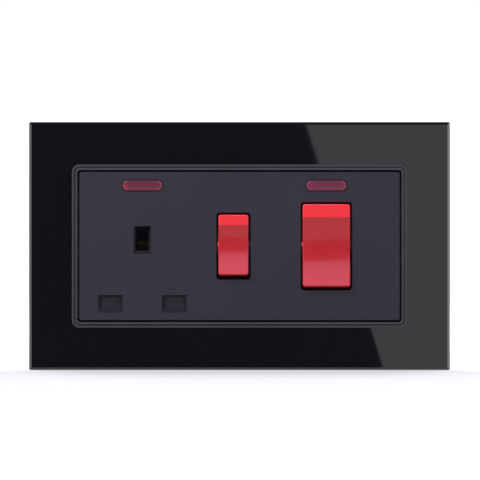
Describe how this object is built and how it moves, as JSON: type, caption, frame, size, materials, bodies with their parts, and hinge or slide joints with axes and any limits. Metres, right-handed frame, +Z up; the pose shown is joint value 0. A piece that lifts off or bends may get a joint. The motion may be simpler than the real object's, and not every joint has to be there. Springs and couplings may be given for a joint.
{
  "type": "cooker control unit",
  "caption": "Wall plate with black glass surround, red cooker rocker switch, switched three-pin socket and two red neon indicators.",
  "frame": {"origin": "centre of the plate on the wall plane, midway between the two fixing holes", "axes": "+X to the right seen from the room, +Y into the wall, +Z up; the front faces -Y"},
  "size_m": [0.146, 0.0392, 0.086],
  "materials": {
    "black_glass": "gloss, painted black behind",
    "charcoal_plastic": "fine satin moulding",
    "red_plastic": "satin gloss",
    "neon_red": "translucent, polished",
    "shutter_plastic": "satin moulding",
    "zinc_steel": "zinc plated sheet",
    "screw_steel": "passivated zinc plate",
    "brass": "machined and stamped brass",
    "copper": "stamped copper strip",
    "silver": "silver contact rivet",
    "spring_steel": "drawn spring wire",
    "white_plastic": "slippery white moulding",
    "lamp_glass": "clear glass bulb",
    "resistor_body": "lacquered",
    "tinned_wire": "tinned wire"
  },
  "bodies": {
    "insert": {"front_plate": "charcoal_plastic", "rocker_retainer": "charcoal_plastic", "mounting_plate": "zinc_steel", "rear_housing": "charcoal_plastic", "housing_screws": "screw_steel", "socket_fixed_tip": "silver", "cooker_fixed_tips": "silver", "feed_line_terminal": "brass", "feed_neutral_terminal": "brass", "load_line_terminal": "brass", "load_neutral_terminal": "brass", "earth_terminal": "brass", "terminal_screws": "screw_steel", "line_link": "copper", "switched_line_bar": "copper", "line_contact": "brass", "neutral_contact": "brass", "earth_contact": "brass", "earth_strip": "copper", "earth_rivet": "brass", "neutral_link": "copper", "shutter_cover": "shutter_plastic", "shutter_spring": "spring_steel", "shutter_cover_screws": "screw_steel", "socket_neon_lens": "neon_red", "cooker_neon_lens": "neon_red", "socket_neon_lamp": "lamp_glass", "cooker_neon_lamp": "lamp_glass", "socket_neon_resistor": "resistor_body", "cooker_neon_resistor": "resistor_body", "socket_neon_leads": "tinned_wire", "cooker_neon_leads": "tinned_wire"},
    "surround": {"glass_frame": "black_glass", "panel_carrier": "charcoal_plastic"},
    "small_rocker": {"socket_rocker": "red_plastic", "socket_plunger": "white_plastic", "socket_plunger_spring": "spring_steel"},
    "large_rocker": {"cooker_rocker": "red_plastic", "cooker_plungers": "white_plastic", "cooker_plunger_springs": "spring_steel"},
    "socket_see_saw": {"socket_moving_contact": "copper", "socket_moving_tip": "silver"},
    "cooker_see_saw": {"cooker_line_moving_contact": "copper", "cooker_neutral_moving_contact": "copper", "cooker_moving_tips": "silver"},
    "shutter_slide": {"shutter": "shutter_plastic"}
  },
  "joints": [
    {"name": "surround_pull", "type": "slide", "parent": "insert", "child": "surround", "axis": [0, -1, 0], "range_m": [0, 0.025]},
    {"name": "socket_switch", "type": "hinge", "parent": "insert", "child": "small_rocker", "pos_m": [-0.0021, -0.0065, 0], "axis": [1, 0, 0], "range_deg": [0, 10]},
    {"name": "socket_contact", "type": "hinge", "parent": "insert", "child": "socket_see_saw", "pos_m": [-0.0021, 0.0097, 0], "axis": [1, 0, 0], "range_deg": [-16, 0]},
    {"name": "cooker_switch", "type": "hinge", "parent": "insert", "child": "large_rocker", "pos_m": [0.0301, -0.006, 0], "axis": [1, 0, 0], "range_deg": [0, 10]},
    {"name": "cooker_contact", "type": "hinge", "parent": "insert", "child": "cooker_see_saw", "pos_m": [0.0301, 0.0102, 0], "axis": [1, 0, 0], "range_deg": [-16, 0]},
    {"name": "shutter_lift", "type": "slide", "parent": "insert", "child": "shutter_slide", "axis": [0, 0, 1], "range_m": [0, 0.005], "stiffness_N_per_m": 150, "springref_m": -0.004, "deforming": ["shutter_spring"]}
  ],
  "couplings": [
    {"joint": "socket_contact", "follows": "socket_switch", "ratio": -1.6},
    {"joint": "cooker_contact", "follows": "cooker_switch", "ratio": -1.6}
  ]
}
